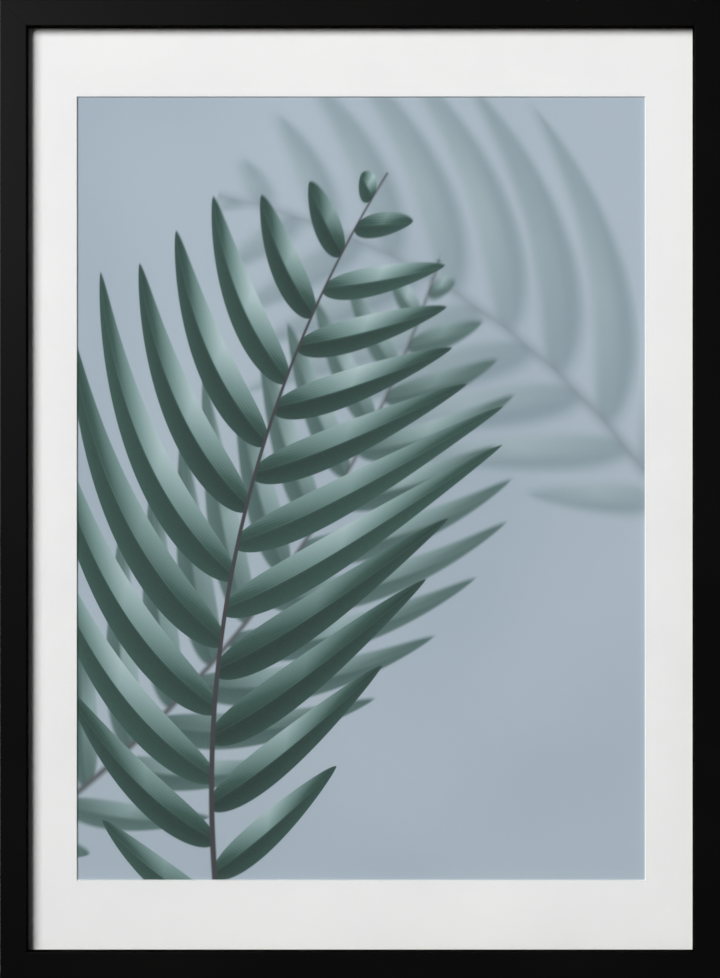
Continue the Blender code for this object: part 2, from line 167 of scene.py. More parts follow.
class Finish:
    """A material being made. node() adds any node; the rest are the few forms that the finishes share."""

    def __init__(self, name):
        self.material = bpy.data.materials.new(name)
        self.material.use_nodes = True
        self.nodes = self.material.node_tree.nodes
        self.links = self.material.node_tree.links
        self.shader = self.nodes["Principled BSDF"]
        self.output = self.nodes["Material Output"]

    def feed(self, socket, value):
        """Link a Value to a socket, or set the socket's own number or colour."""
        if isinstance(value, Value):
            self.links.new(value.socket, socket)
        else:
            socket.default_value = value

    def node(self, kind, settings=None, inputs=None, output=0):
        """Add a node: its settings, with a ramp's stops among them, then its sockets' values or links."""
        made = self.nodes.new(kind)
        for name, setting in (settings or {}).items():
            if name == "stops":
                elements = made.color_ramp.elements
                for position, colour in setting[len(elements):]:
                    elements.new(position)
                for element, (position, colour) in zip(elements, setting):
                    element.position = position
                    element.color = (*colour, 1.0)
            else:
                setattr(made, name, setting)
        for name, value in (inputs or {}).items():
            self.feed(made.inputs[name], value)
        return Value(self, made.outputs[output])

    def set(self, **values):
        """Feed the Principled shader's sockets, named with underscores for spaces."""
        for name, value in values.items():
            self.feed(self.shader.inputs[name.replace("_", " ")], value)

    def place(self):
        """The point's Object coordinates: x, y and z."""
        point = self.node("ShaderNodeTexCoord", output=3)
        return self.parts(point)

    def parts(self, vector):
        return [self.node("ShaderNodeSeparateXYZ", inputs={0: vector}, output=n) for n in range(3)]

    def vector(self, x, y=0.0, z=0.0):
        return self.node("ShaderNodeCombineXYZ", inputs={0: x, 1: y, 2: z})

    def noise(self, vector, scale, detail=2.0, roughness=0.5, distortion=0.0):
        inputs = {
            "Vector": vector, "Scale": scale, "Detail": detail,
            "Roughness": roughness, "Distortion": distortion,
        }
        return self.node("ShaderNodeTexNoise", {"noise_dimensions": "3D"}, inputs)

    def chance(self, value, seed):
        """A number from 0 to 1 that differs from one whole value to the next."""
        inputs = {"Vector": self.vector(value, seed)}
        return self.node("ShaderNodeTexWhiteNoise", {"noise_dimensions": "2D"}, inputs)

    def step(self, value, low, high, start=0.0, end=1.0):
        """A smooth step from start to end as the value goes from low to high."""
        settings = {"interpolation_type": "SMOOTHSTEP"}
        inputs = {"Value": value, "From Min": low, "From Max": high, "To Min": start, "To Max": end}
        return self.node("ShaderNodeMapRange", settings, inputs)

    def blend(self, factor, first, second):
        """The first colour where the factor is 0, the second where it is 1."""
        inputs = {0: factor, 6: self.colour(first), 7: self.colour(second)}
        return self.node("ShaderNodeMix", {"data_type": "RGBA"}, inputs, output=2)

    def colour(self, value):
        return value if isinstance(value, Value) else (*value, 1.0)

    def bump(self, height, distance, strength=1.0):
        """Normals for a height from 0 to 1 that stands for the distance, in metres."""
        inputs = {"Height": height, "Distance": distance, "Strength": strength}
        self.set(Normal=self.node("ShaderNodeBump", inputs=inputs))


def arc(middle, radius, start, end, steps):
    """Points on an arc in a plane, from the start angle to the end angle in degrees."""
    angles = np.radians(np.linspace(start, end, steps + 1))
    return np.stack((middle[0] + radius * np.cos(angles), middle[1] + radius * np.sin(angles)), axis=1)


def smooth_share(value, low, high):
    """The smooth step 3t^2 - 2t^3 of a value between two limits."""
    share = np.clip((value - low) / (high - low), 0.0, 1.0)
    return share * share * (3 - 2 * share)


# The turn between two faces, in degrees, from which their edge is sharp
SHARP_EDGE = 35.0


def shell(name, rings, ring_loop=False, sharp=SHARP_EDGE, spans=None, coats=None):
    """A closed piece: rings of points, each a closed loop, joined in order and capped or looped.

    The rings are one array (ring, point, xyz). spans, if given, are the UV values in metres, one for each
    point and one to close the ring. coats, if given, are the finish's number for each strip along the rings,
    and last the one for the caps.
    """
    count, around = rings.shape[:2]
    index = np.arange(count * around).reshape(count, around)
    if ring_loop:
        index = np.vstack((index, index[:1]))
    wrapped = np.hstack((index, index[:, :1]))
    quads = np.stack((wrapped[:-1, :-1], wrapped[:-1, 1:], wrapped[1:, 1:], wrapped[1:, :-1]), axis=-1)
    quads = quads.reshape(-1, 4)
    points = rings.reshape(-1, 3)
    corners = points[quads] - points.mean(0)
    volume = np.einsum("ij,ij->i", corners[:, 0], np.cross(corners[:, 1], corners[:, 2])).sum()
    volume += np.einsum("ij,ij->i", corners[:, 0], np.cross(corners[:, 2], corners[:, 3])).sum()
    faces = quads.tolist()
    if not ring_loop:
        faces += [index[0][::-1].tolist(), index[-1].tolist()]
    if volume < 0:
        faces = [face[::-1] for face in faces]
    mesh = bpy.data.meshes.new(name)
    mesh.from_pydata(points.tolist(), [], faces)
    if spans is not None:
        corner_spans = np.stack((spans[:-1, :-1], spans[:-1, 1:], spans[1:, 1:], spans[1:, :-1]), axis=2)
        corner_spans = corner_spans.reshape(-1, 4, 2)
        if volume < 0:
            corner_spans = corner_spans[:, ::-1]
        loops = np.zeros((len(mesh.loops), 2))
        loops[:corner_spans.size // 2] = corner_spans.reshape(-1, 2)
        mesh.uv_layers.new(name="UVMap").data.foreach_set("uv", loops.ravel())
    if coats is not None:
        numbers = np.tile(coats[:-1], len(index) - 1)
        numbers = np.append(numbers, [coats[-1]] * (len(faces) - len(numbers)))
        mesh.polygons.foreach_set("material_index", numbers)
    mesh.shade_smooth()
    mesh.set_sharp_from_angle(angle=math.radians(sharp))
    mesh.update()
    piece = bpy.data.objects.new(name, mesh)
    bpy.context.scene.collection.objects.link(piece)
    return piece


def dress(piece, finishes, body, slot, *nodes):
    """Give a piece its finishes and its body, and hide the CAD nodes that it stands for. The slot is not
    used.
    """
    for finish in finishes if isinstance(finishes, tuple) else (finishes,):
        piece.data.materials.append(finish.material)
    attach(piece, body)
    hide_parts(*nodes)
    return piece


def repaint(node, finish):
    """Give a CAD node a finish."""
    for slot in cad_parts[node].material_slots:
        slot.material = finish.material


def lacquer_finish():
    """Satin black lacquer on close grained wood: faint grain along the rail under a rippled coat."""
    finish = Finish("black_lacquer_wood")
    along, across, _ = finish.parts(finish.node("ShaderNodeTexCoord", output=2))
    grain = finish.noise(finish.vector(along * 6.0, across * 420.0), 1.0, 4.0, 0.6, 0.4)
    pores = finish.step(finish.noise(finish.vector(along * 90.0, across * 2600.0), 1.0), 0.60, 0.74)
    place = finish.node("ShaderNodeTexCoord", output=3)
    ripple = finish.noise(place, 900.0)
    cloud = finish.noise(place, 9.0, 3.0, 0.55)
    tone = finish.blend(finish.step(cloud, 0.3, 0.7), (0.0027, 0.0027, 0.0028), (0.0037, 0.0036, 0.0035))
    finish.set(
        Base_Color=tone,
        Roughness=0.37 + 0.07 * grain + 0.04 * cloud,
        Specular_IOR_Level=0.20,
    )
    finish.bump(0.55 * grain + 0.30 * ripple - 0.35 * pores, 0.000024, 0.7)
    return finish


def painted_shade_edge_finish():
    """Matt black on the lip's inner side, darker than the lacquer: the extra darkness is painted shade for
    the recess wall. Dead matt, with the cut grain just showing.
    """
    finish = Finish("black_painted_shade_edge")
    along, across, _ = finish.parts(finish.node("ShaderNodeTexCoord", output=2))
    grain = finish.noise(finish.vector(along * 30.0, across * 900.0), 1.0, 3.0, 0.6)
    # painted shade: both tones are darker than the lacquer's, standing in for the shade on the lip's inner
    # side
    tone = finish.blend(finish.step(grain, 0.3, 0.7), (0.0012, 0.0012, 0.0012), (0.0022, 0.0021, 0.0020))
    finish.set(Base_Color=tone, Roughness=0.86 + 0.10 * grain, Specular_IOR_Level=0.02)
    finish.bump(grain, 0.00004, 0.6)
    return finish


def bare_finish():
    """Bare softwood in the rebate and on the mitres: pale bands along the grain, saw marks across it."""
    finish = Finish("bare_softwood")
    along, across, _ = finish.parts(finish.node("ShaderNodeTexCoord", output=2))
    bands = finish.noise(finish.vector(along * 4.0, across * 380.0), 1.0, 4.0, 0.6, 0.5)
    marks = finish.noise(finish.vector(along * 1400.0, across * 60.0), 1.0, 2.0)
    tone = finish.blend(finish.step(bands, 0.35, 0.65), (0.30, 0.20, 0.11), (0.44, 0.32, 0.19))
    finish.set(Base_Color=tone, Roughness=0.74 + 0.12 * marks, Specular_IOR_Level=0.30)
    finish.bump(0.6 * marks + 0.4 * bands, 0.00005, 0.7)
    return finish


def rail_section():
    """The moulding's section as (out, back) points, its running length at each point and its normals.

    It starts behind the lip at the sight edge and goes round the face, the outer side, the back and the
    rebate, with arcs where the moulding is rounded. A guard point beside each arc keeps the flats flat.
    """
    outer_middle = (FACE - OUTER_ROUND, OUTER_ROUND)
    back_middle = (FACE - BACK_ROUND, DEPTH - BACK_ROUND)
    inner_back = (REBATE + BACK_ROUND, DEPTH - BACK_ROUND)
    points = np.vstack((
        [(0.0, LIP), (0.0, SIGHT_ROUND + GUARD)],
        arc((SIGHT_ROUND, SIGHT_ROUND), SIGHT_ROUND, 180, 270, 10),
        [(SIGHT_ROUND + GUARD, 0.0), (FACE - OUTER_ROUND - GUARD, 0.0)],
        arc(outer_middle, OUTER_ROUND, 270, 360, 12),
        [(FACE, OUTER_ROUND + GUARD), (FACE, DEPTH - BACK_ROUND - GUARD)],
        arc(back_middle, BACK_ROUND, 0, 90, 6),
        [(FACE - BACK_ROUND - GUARD, DEPTH), (REBATE + BACK_ROUND + GUARD, DEPTH)],
        arc(inner_back, BACK_ROUND, 90, 180, 6),
        [(REBATE, DEPTH - BACK_ROUND - GUARD), (REBATE, LIP)],
    ))
    steps = np.linalg.norm(np.diff(np.vstack((points, points[:1])), axis=0), axis=1)
    lengths = np.concatenate(([0.0], np.cumsum(steps)))
    ahead = np.roll(points, -1, axis=0) - np.roll(points, 1, axis=0)
    normals = np.stack((ahead[:, 1], -ahead[:, 0]), axis=1)
    normals /= np.linalg.norm(normals, axis=1, keepdims=True)
    return points, lengths, normals


SECTION, SECTION_LENGTHS, SECTION_NORMALS = rail_section()
# the lip's inner side takes a finish whose darker colour is painted shade
LACQUERED, SHADE_PAINTED_COAT, BARE = 0, 1, 2
SHADE_PAINTED_STRIPS = 6
BARE_STRIPS = 3


def key_pockets():
    """The corner keys' pockets as one mesh: at each corner two thin wings that meet at the key's apex."""
    near, thin, far = POCKET_GAP, -KEY_THICKNESS - POCKET_GAP, -KEY_WING - POCKET_GAP
    outline = np.array(((near, near), (far, near), (far, thin), (thin, thin), (thin, far), (near, far)))
    points, faces = [], []
    for across in (-1, 1):
        for up in (-1, 1):
            apex = (OUTER_WIDTH / 2 - KEY_INSET, OUTER_HEIGHT / 2 - KEY_INSET)
            xs = across * (outline[:, 0] + apex[0])
            zs = up * (outline[:, 1] + apex[1]) + CENTRE_Z
            first = len(points)
            for y in (BACK - KEY_DEPTH, BACK + 2 * SEAT_GAP):
                points += [(x, y, z) for x, z in zip(xs, zs)]
            loop = np.arange(len(outline))
            ahead = np.roll(loop, -1)
            over = len(outline)
            walls = np.stack((loop, ahead, ahead + over, loop + over), axis=1) + first
            pocket = walls.tolist() + [(loop[::-1] + first).tolist(), (loop + over + first).tolist()]
            mirrored = across * up < 0
            faces += pocket if mirrored else [face[::-1] for face in pocket]
    mesh = bpy.data.meshes.new("key_pockets")
    mesh.from_pydata(points, [], faces)
    cutter = bpy.data.objects.new("key_pockets", mesh)
    bpy.context.scene.collection.objects.link(cutter)
    return cutter


def carve(piece, cutter):
    """Cut a piece by the cutter and keep the result as the piece's own mesh."""
    modifier = piece.modifiers.new("carve", "BOOLEAN")
    modifier.object = cutter
    modifier.solver = "EXACT"
    carved = bpy.data.meshes.new_from_object(piece.evaluated_get(bpy.context.evaluated_depsgraph_get()))
    carved.set_sharp_from_angle(angle=math.radians(SHARP_EDGE))
    piece.modifiers.clear()
    piece.data = carved


def rail(name, sight_length, turn, finishes, cutter):
    """A rail: the section carried along its length, each end slid onto the mitre plane and eased by a hair.

    The grain's place along the wood is shifted from rail to rail, so that no two look alike.
    """
    stations = np.array((0.0, 0.3, 1.0, 1.0)) * MITRE_EASE + np.array((0.0, 0.0, 0.0, GUARD))
    insets = np.array((1.0, 0.3, 0.0, 0.0)) * MITRE_EASE
    half = sight_length / 2 - MITRE_GAP / math.sqrt(2)
    rings = []
    for side in (-1, 1):
        for station, inset in list(zip(stations, insets))[::-side]:
            section = SECTION - inset * SECTION_NORMALS
            along = side * (half - station + section[:, 0])
            rings.append(np.stack((along, FRONT + section[:, 1], section[:, 0]), axis=1))
    rings = np.array(rings)
    spans = np.zeros((len(rings), len(SECTION) + 1, 2))
    spans[:, :-1, 0] = rings[:, :, 0]
    spans[:, -1, 0] = rings[:, 0, 0]
    spans[:, :, 0] += turn * GRAIN_SHIFT
    spans[:, :, 1] = SECTION_LENGTHS
    away = SIGHT_HEIGHT / 2 if turn % 180 == 0 else SIGHT_WIDTH / 2
    rings[:, :, 2] += away
    angle = math.radians(turn)
    x, z = rings[:, :, 0].copy(), rings[:, :, 2].copy()
    rings[:, :, 0] = x * math.cos(angle) + z * math.sin(angle)
    rings[:, :, 2] = -x * math.sin(angle) + z * math.cos(angle) + CENTRE_Z
    coats = [LACQUERED] * len(SECTION) + [BARE]
    # painted shade: the strips on the lip's inner side get the darker finish
    coats[:SHADE_PAINTED_STRIPS] = [SHADE_PAINTED_COAT] * SHADE_PAINTED_STRIPS
    coats[len(SECTION) - BARE_STRIPS:len(SECTION)] = [BARE] * BARE_STRIPS
    piece = shell(f"{name}_moulding", rings, spans=spans, coats=coats)
    carve(piece, cutter)
    return dress(piece, finishes, "frame", "black_lacquer", name)


def rectangle(half_width, half_height, middle, y, across=0.0):
    """The corners of an upright rectangle as a ring of points."""
    xs = np.array((-1, 1, 1, -1)) * half_width + across
    zs = np.array((-1, -1, 1, 1)) * half_height + middle
    return np.stack((xs, np.full(4, y), zs), axis=1)


def slab(name, low, high, ease):
    """A sheet with eased edges: rectangles from its front face to its back one."""
    half_width = (high[0] - low[0]) / 2
    half_height = (high[2] - low[2]) / 2
    middle = (high[2] + low[2]) / 2
    rings = [
        rectangle(half_width - inset, half_height - inset, middle, y)
        for inset, y in ((ease, low[1]), (0.0, low[1] + ease), (0.0, high[1] - ease), (ease, high[1]))
    ]
    return shell(name, np.array(rings), sharp=20.0)


def glazing_finish():
    """Clear float glass: see-through, with the faint mirror of its surface.

    The mirror's share starts from its share head on and rises to 1 with the fifth power of the turn away.
    """
    finish = Finish("clear_float_glass")
    finish.set(Base_Color=(1.0, 1.0, 1.0, 1.0), Roughness=0.02, Metallic=1.0)
    clear = finish.node("ShaderNodeBsdfTransparent", inputs={"Color": (0.985, 0.986, 0.985, 1.0)})
    away = finish.node("ShaderNodeLayerWeight", inputs={"Blend": 0.5}, output=1)
    mirror = HEAD_ON_MIRROR + (1 - HEAD_ON_MIRROR) * away ** 5.0
    mixed = finish.node("ShaderNodeMixShader", inputs={0: mirror, 1: clear})
    finish.links.new(finish.shader.outputs[0], mixed.socket.node.inputs[2])
    finish.links.new(mixed.socket, finish.output.inputs["Surface"])
    return finish


def mat_finish():
    """White mat board: paper tooth on the face, a whiter and smoother core on the window's bevel."""
    finish = Finish("white_mat_board")
    x, _, z = finish.place()
    place = finish.node("ShaderNodeTexCoord", output=3)
    past_side = abs(x - WINDOW_ACROSS) - WINDOW_HALF_WIDTH
    beyond = past_side.math("MAXIMUM", abs(z - WINDOW_MIDDLE) - WINDOW_HALF_HEIGHT)
    core = beyond < BEVEL * 1.02
    tooth = finish.noise(place, 2600.0, 3.0, 0.6)
    felt = finish.noise(place, 420.0, 3.0, 0.6)
    cloud = finish.noise(place, 14.0, 2.0, 0.5)
    shade = finish.step(felt * 0.5 + cloud * 0.5, 0.3, 0.7)
    face = finish.blend(shade, (0.845, 0.847, 0.843), (0.88, 0.88, 0.875))
    finish.set(
        Base_Color=finish.blend(core, face, (0.94, 0.94, 0.93)),
        Roughness=0.86 + 0.08 * tooth,
        Specular_IOR_Level=0.25,
    )
    finish.bump((0.6 * tooth + 0.4 * felt) * (1 - 0.6 * core), 0.00004, 0.7)
    return finish


def mat(finish):
    """The mat: rings from the back's window edge over the outer edge and the face to the bevel's top."""
    half_width = (MAT_HIGH[0] - MAT_LOW[0]) / 2
    half_height = (MAT_HIGH[2] - MAT_LOW[2]) / 2
    middle = (MAT_HIGH[2] + MAT_LOW[2]) / 2
    front, back = MAT_LOW[1], MAT_HIGH[1]
    rings = [
        rectangle(half_width, half_height, middle, back),
        rectangle(half_width, half_height, middle, front),
    ]
    bevel = (
        (BEVEL + MAT_EASE, front), (BEVEL, front + 0.3 * MAT_EASE), (BEVEL - MAT_EASE, front + MAT_EASE),
        (0.0, back),
    )
    for spread, y in bevel:
        half = WINDOW_HALF_WIDTH + spread, WINDOW_HALF_HEIGHT + spread
        rings.append(rectangle(*half, WINDOW_MIDDLE, y, WINDOW_ACROSS))
    piece = shell("mat_with_window", np.array(rings), ring_loop=True, sharp=20.0)
    return dress(piece, finish, "frame", "white_mat", "mat")


# The fronds' tones: three for the leaflets from dark to light, one for the lit edge, one for the midrib
FAR = (
    (0.27, 0.345, 0.40), (0.30, 0.385, 0.43), (0.34, 0.425, 0.47),
    (0.38, 0.47, 0.51),
    (0.24, 0.30, 0.35),
)
MIDWAY = (
    (0.065, 0.125, 0.120), (0.12, 0.20, 0.195), (0.24, 0.35, 0.355),
    (0.40, 0.52, 0.54),
    (0.10, 0.115, 0.125),
)
NEAR = (
    (0.016, 0.044, 0.038), (0.042, 0.100, 0.085), (0.20, 0.32, 0.31),
    (0.46, 0.59, 0.61),
    (0.050, 0.052, 0.058),
)

# The fronds, farthest first: roots in metres from the window's middle, headings in degrees, bends in 1/m
FRONDS = (
    (FAR, {
        "root": (0.25, -0.05), "heading": 118.0, "bend": 1.9, "length": 0.46,
        "leaflet": 0.160, "pitch": 0.050,
        "blur": 0.0070, "focus": 0.0, "seed": 3.0,
    }),
    (MIDWAY, {
        "root": (-0.27, -0.27), "heading": 34.0, "bend": 1.2, "length": 0.56,
        "leaflet": 0.140, "pitch": 0.043,
        "blur": 0.0016, "focus": 0.0020, "seed": 11.0,
    }),
    (NEAR, {
        "root": (-0.10, -0.36), "heading": 99.0, "bend": -1.15, "length": 0.62,
        "leaflet": 0.175, "pitch": 0.050,
        "blur": 0.0002, "focus": 0.0016, "seed": 23.0,
    }),
)
SIDE_SEED = 37.0
LEAFLET_SLANT = 0.55
LEAFLET_CURL = 0.60
LEAFLET_FULLNESS = 0.80
LEAFLET_NARROWING = 0.82
VEINS = 2900.0
CRISP_BLUR = 0.0016
STEM_ROOT = 0.0026
STEM_TAPER = 0.0018


def frond(finish, x, z, root, heading, bend, length, leaflet, pitch, blur, focus, seed):
    """One arching frond as (cover, tone, stem): where its leaflets are, how light they are and its midrib.

    The midrib is an arc from the root. A point's place on it is its angle about the arc's middle, and its
    place across it is its distance from the arc. Leaflets repeat along the arc at a pitch. Each leaves it at
    a slant that grows less steep outwards, swells and narrows to a point, and has a fold that parts a half
    that faces the light from one in its own shade. The edges go out of focus away from one place on the
    midrib.
    """
    radius = 1.0 / abs(bend)
    turn = math.copysign(1.0, bend)
    start = math.radians(heading)
    middle = (root[0] - turn * radius * math.sin(start), root[1] + turn * radius * math.cos(start))
    first = math.atan2(root[1] - middle[1], root[0] - middle[0])
    from_x = x - middle[0]
    from_z = z - middle[1]
    out = (from_x * from_x + from_z * from_z).math("SQRT")
    turned_x = from_x * math.cos(first) + from_z * math.sin(first)
    turned_z = (from_z * math.cos(first) - from_x * math.sin(first)) * turn
    along = turned_z.math("ARCTAN2", turned_x) * radius
    across = (out - radius) * -turn
    side = across > 0.0
    reach = abs(across)
    base = along - reach * (LEAFLET_SLANT + LEAFLET_CURL / leaflet * reach)
    shifted = base + side * (0.5 * pitch)
    cell = (shifted / pitch).math("FLOOR")
    luck = finish.chance(cell + side * SIDE_SEED, seed)
    other_luck = finish.chance(cell + side * SIDE_SEED, seed + 5.0)
    root_at = (cell + 0.5) * pitch - side * (0.5 * pitch)
    share = (root_at / length).math("MINIMUM", 1.0).math("MAXIMUM", 0.0)
    taper = finish.step(share, -0.15, 0.35) * (1 - share * share * share)
    own_reach = leaflet * taper * (0.86 + 0.20 * luck) + 0.0001
    t = (reach / own_reach).math("MINIMUM", 1.0)
    swell = (t + 0.02) ** 0.50 * (1 - t) ** 0.70
    half_width = swell * (LEAFLET_FULLNESS * pitch) * (0.40 + 0.60 * taper)
    off = (base - root_at + pitch * 0.10 * (luck - 0.5)) * LEAFLET_NARROWING
    soft = blur + focus * abs(along / length - 0.5 + 0.3 * t)
    crisp = max(0.0, 1.0 - blur / CRISP_BLUR)
    inside = half_width - abs(off)
    present = (share > 0.0) * (share < 1.0)
    cover = finish.step(inside, -soft, soft) * finish.step(own_reach - reach, -soft, soft) * present
    fold = finish.step(off, -0.0005 - soft, 0.0007 + soft)
    edge = (abs(off) / (half_width + 0.0005)).math("MINIMUM", 1.0)
    veins = (off * VEINS).math("SINE") * crisp
    lit = (0.34 + 0.42 * other_luck) * (1 - abs(2 * t - 0.9)).math("MAXIMUM", 0.0) + 0.30 * edge
    shaded = 0.06 + 0.16 * edge * edge + 0.10 * t
    rib = finish.step(abs(off), 0.0009 + soft, 0.0002)
    tone = fold * lit + (1 - fold) * shaded + 0.10 * rib + 0.016 * veins + 0.10 * (luck - 0.5)
    thickness = STEM_ROOT - STEM_TAPER * (along / length).math("MINIMUM", 1.0).math("MAXIMUM", 0.0)
    stem = finish.step(thickness - reach, -soft, 0.0004 + soft) * (along > 0.0) * (along < length)
    return cover, tone, stem


def print_finish():
    """Matte print: a slate blue ground with arching fronds, far ones pale and blurred, near ones dark."""
    finish = Finish("botanical_print")
    x, _, high = finish.place()
    z = high - WINDOW_MIDDLE
    place = finish.node("ShaderNodeTexCoord", output=3)
    drift = finish.noise(place, 3.0)
    paler = finish.step(drift + 0.6 * x - 0.15 * z, 0.22, 0.72)
    colour = finish.blend(paler, (0.353, 0.431, 0.507), (0.449, 0.529, 0.602))
    for (dark, middle, sage, pale, stem_tone), shape in FRONDS:
        cover, tone, stem = frond(finish, x, z, **shape)
        stops = ((0.05, dark), (0.30, middle), (0.60, sage), (0.95, pale))
        leaf = finish.node("ShaderNodeValToRGB", {"stops": stops}, {0: tone})
        colour = finish.blend(cover, colour, leaf)
        colour = finish.blend(stem, colour, stem_tone)
    grain = finish.noise(place, 1500.0)
    colour = finish.blend(0.04, colour, finish.blend(grain, (0.0, 0.0, 0.0), (1.0, 1.0, 1.0)))
    finish.set(Base_Color=colour, Roughness=0.62, Specular_IOR_Level=0.30)
    finish.bump(grain, 0.00002, 0.4)
    return finish


def board_finish(name, dark, pale, fibre):
    """Pressed board: fine curled fibres, where a bent noise nears its middle, over pulp and slow clouds."""
    finish = Finish(name)
    place = finish.node("ShaderNodeTexCoord", output=3)
    bent = finish.noise(place, 0.4 * fibre, 2.0, 0.5, 1.6)
    strand = finish.step(abs(bent - 0.5), 0.0, 0.05, 1.0, 0.0)
    pulp = finish.noise(place, fibre, 3.0, 0.65)
    cloud = finish.noise(place, 7.0, 3.0, 0.55)
    tone = finish.blend(finish.step(0.5 * cloud + 0.3 * pulp + 0.2 * strand, 0.25, 0.75), dark, pale)
    finish.set(Base_Color=tone, Roughness=0.60 + 0.14 * strand + 0.10 * pulp, Specular_IOR_Level=0.35)
    finish.bump(0.5 * strand + 0.5 * pulp, 0.00004, 0.7)
    return finish


def steel_finish(name, dark, pale, rough, line_scale):
    """Zinc plated steel: drawn lines, blotches of passivation and the odd scuff."""
    finish = Finish(name)
    place = finish.node("ShaderNodeTexCoord", output=3)
    x, y, z = finish.parts(place)
    lines = finish.noise(finish.vector(x * 0.08, y, z), line_scale, 3.0, 0.6)
    blotch = finish.noise(place, 260.0, 3.0, 0.6)
    scuff = finish.step(finish.noise(finish.vector(x, y, z * 0.2), 900.0, 2.0, 0.5), 0.62, 0.74)
    finish.set(
        Base_Color=finish.blend(finish.step(blotch, 0.3, 0.7), dark, pale),
        Metallic=1.0,
        Roughness=rough + 0.14 * blotch + 0.12 * scuff,
    )
    finish.bump(lines * 0.7 + scuff * 0.3, 0.000012, 0.6)
    return finish


def rubber_finish():
    """Moulded rubber: matt, with a fine grain and a dusting of grey."""
    finish = Finish("bumper_rubber_moulded")
    place = finish.node("ShaderNodeTexCoord", output=3)
    grain = finish.noise(place, 2200.0, 2.0, 0.6)
    dust = finish.step(finish.noise(place, 320.0, 3.0, 0.6), 0.45, 0.75)
    finish.set(
        Base_Color=finish.blend(dust, (0.020, 0.020, 0.021), (0.050, 0.050, 0.048)),
        Roughness=0.72 + 0.15 * dust,
    )
    finish.bump(grain, 0.00004, 0.7)
    return finish


def turned(profile, steps):
    """Rings round the Y axis for a profile of (radius, y) points."""
    angles = np.linspace(0.0, 2 * math.pi, steps, endpoint=False)
    radius, y = profile[:, :1], profile[:, 1:]
    return np.stack((radius * np.cos(angles), y + 0.0 * angles, radius * np.sin(angles)), axis=-1)


def moved(rings, to, turn):
    """Rings made round the origin, turned about Y by degrees and moved into place."""
    angle = math.radians(turn)
    x, z = rings[..., 0], rings[..., 2]
    turned_x = x * math.cos(angle) + z * math.sin(angle)
    turned_z = -x * math.sin(angle) + z * math.cos(angle)
    return np.stack((turned_x, rings[..., 1], turned_z), axis=-1) + np.array(to)


SIDE_TURN = {"top": 0.0, "right": 90.0, "bottom": 180.0, "left": -90.0}
SCREW_HEAD_HEIGHT = 0.0019
NAIL_HEAD_HEIGHT = 0.0008
BUTTON_THICKNESS = 0.0012
BUTTON_REACH = 0.0160
BUTTON_ROOT = 0.0050
BUTTON_TIP = 0.0035
BUTTON_HOLE = 0.00155
BUTTON_EASE = 0.00022
SHOULDER = -0.0006
RIB_HEIGHT = 0.00045
RIB_SIDE = (-0.0022, -0.0006)
RIB_START = (0.0048, 0.0070)
RIB_END = (-0.0140, -0.0118)
TIP_LIFT = 0.0005
TIP_START = (0.0135, 0.0165)


def button_rings():
    """A turn button: loops from the outline over the top to the hole, down and back below, with a rib.

    The outline is the root's arc and the tip's arc. Each loop is a blend of the outline and the hole's
    circle, and the rib lifts both faces of the finger in a soft ridge that runs out before the tip.
    """
    tip = BUTTON_TIP - BUTTON_REACH
    outline = np.vstack((
        arc((0.0, 0.0), BUTTON_ROOT, -4, 184, 34),
        np.linspace((-BUTTON_ROOT, SHOULDER), (-BUTTON_TIP, tip), 12)[1:-1],
        arc((0.0, tip), BUTTON_TIP, 180, 360, 24),
        np.linspace((BUTTON_TIP, tip), (BUTTON_ROOT, SHOULDER), 12)[1:-1],
    ))
    bearing = np.arctan2(outline[:, 1], outline[:, 0])
    hole = BUTTON_HOLE * np.stack((np.cos(bearing), np.sin(bearing)), axis=1)
    inward = hole - outline
    inward /= np.linalg.norm(inward, axis=1, keepdims=True)
    top = BUTTON_THICKNESS / 2
    rim = arc((0.0, top - BUTTON_EASE), BUTTON_EASE, 0, 90, 4)
    loops = []
    for level in (1, -1):
        for out, y in (rim if level > 0 else rim[::-1]):
            loops.append(("outer", out, level * y))
        shares = np.linspace(0.04, 0.97, 24)
        if level > 0:
            loops += [("between", share, top) for share in shares]
            loops += [("hole", 0.0, top - BUTTON_EASE / 2), ("hole", 0.0, BUTTON_EASE / 2 - top)]
            loops += [("between", share, -top) for share in shares[::-1]]
    rings = []
    for kind, amount, y in loops:
        if kind == "outer":
            flat = outline + inward * (BUTTON_EASE - amount)
        elif kind == "between":
            flat = outline + (hole - outline) * amount
        else:
            flat = hole
        ridge = smooth_share(-np.abs(flat[:, 0]), *RIB_SIDE)
        ridge *= smooth_share(-flat[:, 1], *RIB_START) * smooth_share(flat[:, 1], *RIB_END)
        lifted = y + RIB_HEIGHT * ridge + TIP_LIFT * smooth_share(-flat[:, 1], *TIP_START)
        rings.append(np.stack((flat[:, 0], lifted, flat[:, 1]), axis=1))
    return np.array(rings)


